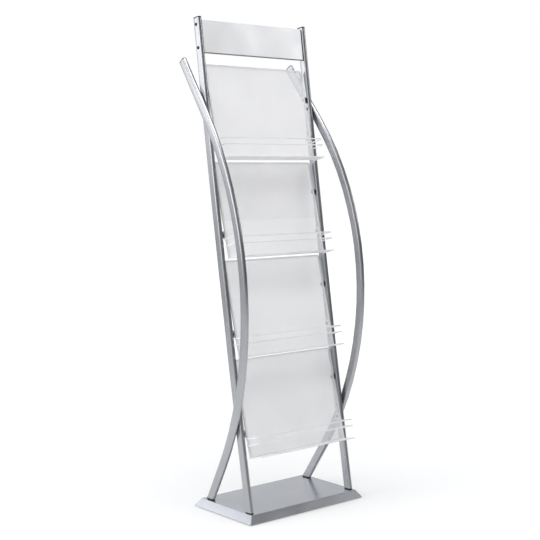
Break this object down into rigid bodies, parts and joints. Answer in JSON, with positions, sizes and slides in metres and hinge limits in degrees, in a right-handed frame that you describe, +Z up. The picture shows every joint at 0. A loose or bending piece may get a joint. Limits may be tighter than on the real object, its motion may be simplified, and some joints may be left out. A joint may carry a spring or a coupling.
{
  "type": "periodical display rack",
  "caption": "Free-standing tilted display rack for magazines: flat-oval uprights and curved side bows on a weighted base, perforated trays with wire guards and a header panel.",
  "frame": {"origin": "on the floor, in the middle of the box that the rack covers", "axes": "+X to the rack's right seen from the front, -Y towards the reader, +Z up"},
  "size_m": [0.5006, 0.3594, 1.5283],
  "materials": {
    "silver_paint": "satin silver-grey metallic paint",
    "tray_paint": "satin pale silver paint on perforated sheet",
    "wire_paint": "satin pale paint",
    "black_fastener": "black-coated steel",
    "black_plastic": "matt moulded black",
    "pad_rubber": "matt",
    "raw_steel": "mill finish"
  },
  "bodies": {
    "root": {"base_ballast_plate": "raw_steel", "base_cover": "silver_paint", "bow_cap_left": "black_plastic", "bow_cap_right": "black_plastic", "bow_foot_left": "black_plastic", "bow_foot_right": "black_plastic", "bow_left": "silver_paint", "bow_right": "silver_paint", "crossing_bolt_lower_left": "black_fastener", "crossing_bolt_lower_right": "black_fastener", "crossing_bolt_upper_left": "black_fastener", "crossing_bolt_upper_right": "black_fastener", "foot_pad_front_left": "pad_rubber", "foot_pad_front_right": "pad_rubber", "foot_pad_rear_left": "pad_rubber", "foot_pad_rear_right": "pad_rubber", "header_panel": "silver_paint", "header_screw_lower_left": "black_fastener", "header_screw_lower_right": "black_fastener", "header_screw_upper_left": "black_fastener", "header_screw_upper_right": "black_fastener", "tray_1_bolt_lower_left": "black_fastener", "tray_1_bolt_lower_right": "black_fastener", "tray_1_bolt_upper_left": "black_fastener", "tray_1_bolt_upper_right": "black_fastener", "tray_1_panel": "tray_paint", "tray_1_wire_floor": "wire_paint", "tray_1_wire_middle": "wire_paint", "tray_1_wire_top": "wire_paint", "tray_2_bolt_lower_left": "black_fastener", "tray_2_bolt_lower_right": "black_fastener", "tray_2_bolt_upper_left": "black_fastener", "tray_2_bolt_upper_right": "black_fastener", "tray_2_panel": "tray_paint", "tray_2_wire_floor": "wire_paint", "tray_2_wire_middle": "wire_paint", "tray_2_wire_top": "wire_paint", "tray_3_bolt_lower_left": "black_fastener", "tray_3_bolt_lower_right": "black_fastener", "tray_3_bolt_upper_left": "black_fastener", "tray_3_bolt_upper_right": "black_fastener", "tray_3_panel": "tray_paint", "tray_3_wire_floor": "wire_paint", "tray_3_wire_middle": "wire_paint", "tray_3_wire_top": "wire_paint", "tray_4_bolt_lower_left": "black_fastener", "tray_4_bolt_lower_right": "black_fastener", "tray_4_bolt_upper_left": "black_fastener", "tray_4_bolt_upper_right": "black_fastener", "tray_4_panel": "tray_paint", "tray_4_wire_floor": "wire_paint", "tray_4_wire_middle": "wire_paint", "tray_4_wire_top": "wire_paint", "upright_cap_left": "black_plastic", "upright_cap_right": "black_plastic", "upright_foot_left": "black_plastic", "upright_foot_right": "black_plastic", "upright_left": "silver_paint", "upright_right": "silver_paint"}
  },
  "joints": []
}
